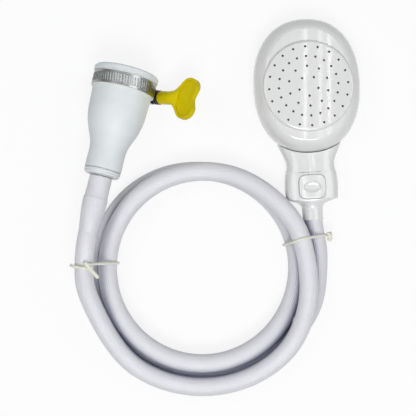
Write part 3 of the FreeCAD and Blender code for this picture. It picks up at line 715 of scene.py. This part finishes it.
steelSets = {
    # darker than the steel's own colour: painted shade standing in for the dark surroundings the band
    # reflects
    "bandSteel": {
        "Color": (0.36, 0.365, 0.355, 1), "Tint": (0.15, 0.155, 0.15, 1), "Smooth": 0.14,
        "Rough": 0.36, "bump": 0.10, "bumpDistance": 0.0002,
    },
    "screwSteel": {
        "Color": (0.52, 0.51, 0.50, 1), "Tint": (0.27, 0.26, 0.25, 1), "Smooth": 0.20, "Rough": 0.44,
        "bump": 0.12, "bumpDistance": 0.0002,
    },
}


def materialWith(name, group, s):
    material = bpy.data.materials.new(name)
    material.use_nodes = True
    tree = material.node_tree
    shader = tree.nodes["Principled BSDF"]
    surface = addNode(tree, "ShaderNodeGroup", {"node_tree": group})
    for socket in surface.inputs:
        if socket.name in s:
            socket.default_value = s[socket.name]
    bump = addNode(tree, "ShaderNodeBump", values={"Strength": s["bump"], "Distance": s["bumpDistance"]},
                   links={"Height": surface.outputs["Height"]})
    tree.links.new(surface.outputs["Color"], shader.inputs["Base Color"])
    tree.links.new(surface.outputs["Roughness"], shader.inputs["Roughness"])
    tree.links.new(bump.outputs["Normal"], shader.inputs["Normal"])
    return material, tree, shader, surface


materials = {}
for name, s in materialSets.items():
    materials[name], tree, shader, surface = materialWith(name, mouldedSurface, s)
    shader.inputs["Coat Weight"].default_value = s["coat"]
    shader.inputs["Coat Roughness"].default_value = s["coatRoughness"]
    shader.inputs["IOR"].default_value = s["ior"]


def adapterVector(tree):
    # position round the adapter's axis: round, along, out from it
    mouth, along = adapterAxis(cuffSet)
    turned = along.to_track_quat("Z", "Y").to_euler()
    place = addNode(tree, "ShaderNodeTexCoord").outputs["Object"]
    local = addNode(tree, "ShaderNodeMapping", {"vector_type": "TEXTURE"},
                    {"Location": tuple(mouth), "Rotation": tuple(turned)}, {"Vector": place})
    parts = addNode(tree, "ShaderNodeSeparateXYZ", links={"Vector": local.outputs["Vector"]})
    angle = mathOf(tree, "ARCTAN2", parts.outputs["Y"], parts.outputs["X"])
    joined = addNode(tree, "ShaderNodeCombineXYZ")
    tree.links.new(mathOf(tree, "MULTIPLY", angle, 0.022), joined.inputs["X"])
    tree.links.new(parts.outputs["Z"], joined.inputs["Y"])
    return joined.outputs["Vector"]


for name, s in steelSets.items():
    materials[name], tree, shader, surface = materialWith(name, steelSurface, s)
    shader.inputs["Metallic"].default_value = 1.0
    if name == "bandSteel":
        tree.links.new(adapterVector(tree), surface.inputs["Vector"])
    else:
        tree.links.new(addNode(tree, "ShaderNodeTexCoord").outputs["Object"], surface.inputs["Vector"])

slotMaterials = {
    "gloss_white": "glossWhite", "cup_rubber": "cupRubber", "hose_vinyl": "hoseVinyl",
    "band_steel": "bandSteel",
    "screw_steel": "screwSteel", "yellow_plastic": "yellowPlastic", "black_plastic": "blackPlastic",
    "inner_plastic": "innerPlastic", "seal_rubber": "sealRubber", "tie_paper": "tiePaper",
}


def dress(piece, material):
    if not piece.material_slots:
        piece.data.materials.append(material)
    for place in piece.material_slots:
        place.material = material


for part in frame["record"]["subparts"]:
    dress(nodes[part["node"]], materials[slotMaterials[part["material_slot"]]])
dress(nodes["head_front_shell"], materials["sprayShell"])  # the same white, with painted shade inside its small holes
dress(nodes["flow_plate"], materials["flowPlastic"])  # the plate behind the spray holes made dark: painted shade seen through them
for piece, name in ((hose, "hoseVinyl"), (cuff, "hoseVinyl"), (neckRing, "cupRubber"),
                    (holeShades, "blackPlastic"), (leftTie, "tiePaper"), (rightTie, "tiePaper")):
    dress(piece, materials[name])
print("materials given:", len(materials))

# floor, world and lamps
stageSet = {
    "size": 6.0,
    "colour": (0.62, 0.62, 0.62, 1),  # what it gives back to the object
    "shownColour": (0.97, 0.97, 0.97, 1),
    "glow": 0.84,  # share of plain white that the camera sees in the floor
    "sky": (0.25, 0.255, 0.27, 1),
    "horizon": 0.62,  # how bright the sky seen in metal and gloss is near the floor
    "lamps": (
        {"name": "keyLamp", "place": (0.05, -0.50, 1.10),
         "size": (0.50, 0.45), "power": 6.2, "down": False},
        {"name": "fillLamp", "place": (-0.55, 0.10, 1.00),
         "size": (0.60, 0.60), "power": 2.3, "down": False},
        {"name": "rightLamp", "place": (0.70, 0.10, 0.85),
         "size": (0.40, 0.60), "power": 1.5, "down": False},
        {"name": "stripLampLeft", "place": (0.160, 0.05, 1.30),
         "size": (0.0035, 1.20), "power": 0.14, "down": True},
        {"name": "stripLampMiddle", "place": (0.186, 0.05, 1.30),
         "size": (0.003, 1.20), "power": 0.11, "down": True},
        {"name": "stripLampRight", "place": (0.202, 0.05, 1.30),
         "size": (0.004, 1.20), "power": 0.15, "down": True},
    ),
}


def seenRays(tree):
    # 1 for the camera and for what metal and gloss show of the surroundings
    path = addNode(tree, "ShaderNodeLightPath")
    seen = mathOf(tree, "MAXIMUM", path.outputs["Is Camera Ray"], path.outputs["Is Glossy Ray"])
    return mathOf(tree, "MAXIMUM", seen, path.outputs["Is Transmission Ray"])


def addFloor(s):
    half = s["size"] / 2
    corners = [(-half, -half, 0), (half, -half, 0), (half, half, 0), (-half, half, 0)]
    floor = newObject("floor", meshFrom("floor", corners, [(0, 1, 2, 3)]), False)
    material = bpy.data.materials.new("floorPaper")
    material.use_nodes = True
    tree = material.node_tree
    tree.nodes.remove(tree.nodes["Principled BSDF"])
    place = addNode(tree, "ShaderNodeTexCoord").outputs["Object"]
    seen = seenRays(tree)
    paper = mixOf(tree, seen, s["colour"], s["shownColour"])
    fleck = rangeOf(tree, noiseOf(tree, place, 40, 3), 0.3, 0.7, 0, 0.02)
    paper = mixOf(tree, fleck, paper, (0.5, 0.5, 0.5, 1))
    matte = addNode(tree, "ShaderNodeBsdfDiffuse", links={"Color": paper})
    glow = addNode(tree, "ShaderNodeEmission")
    mix = addNode(tree, "ShaderNodeMixShader", links={0: mathOf(tree, "MULTIPLY", seen, s["glow"]),
                                                      1: matte.outputs[0], 2: glow.outputs[0]})
    tree.links.new(mix.outputs[0], tree.nodes["Material Output"].inputs["Surface"])
    dress(floor, material)


def addWorld(s):
    world = bpy.data.worlds.new("world")
    bpy.context.scene.world = world
    world.use_nodes = True
    tree = world.node_tree
    background = tree.nodes["Background"]
    outward = addNode(tree, "ShaderNodeTexCoord").outputs["Generated"]
    parts = addNode(tree, "ShaderNodeSeparateXYZ", links={"Vector": outward})
    upward = rangeOf(tree, parts.outputs["Z"], 0.0, 0.7, s["horizon"], 1.0)
    sideward = rangeOf(tree, parts.outputs["X"], -0.7, 0.3, 0.6, 1.0)
    shown = addNode(tree, "ShaderNodeCombineXYZ")
    for axis in ("X", "Y", "Z"):
        tree.links.new(mathOf(tree, "MULTIPLY", upward, sideward), shown.inputs[axis])
    camera = addNode(tree, "ShaderNodeLightPath").outputs["Is Camera Ray"]
    backdrop = mixOf(tree, camera, shown.outputs[0], (1, 1, 1, 1))
    tree.links.new(mixOf(tree, seenRays(tree), s["sky"], backdrop), background.inputs["Color"])


def addLamp(s):
    data = bpy.data.lights.new(s["name"], "AREA")
    data.shape = "RECTANGLE"
    data.size, data.size_y = s["size"]
    data.energy = s["power"]
    lamp = bpy.data.objects.new(s["name"], data)
    lamp.location = s["place"]
    lamp.rotation_mode = "QUATERNION"
    if not s["down"]:
        lamp.rotation_quaternion = (Vector((0, -0.05, 0)) - Vector(s["place"])).to_track_quat("-Z", "Y")
    bpy.context.scene.collection.objects.link(lamp)


addFloor(stageSet)
addWorld(stageSet)
for lampSet in stageSet["lamps"]:
    addLamp(lampSet)
bpy.context.scene.view_settings.view_transform = "Standard"
print("floor, world and lamps set")
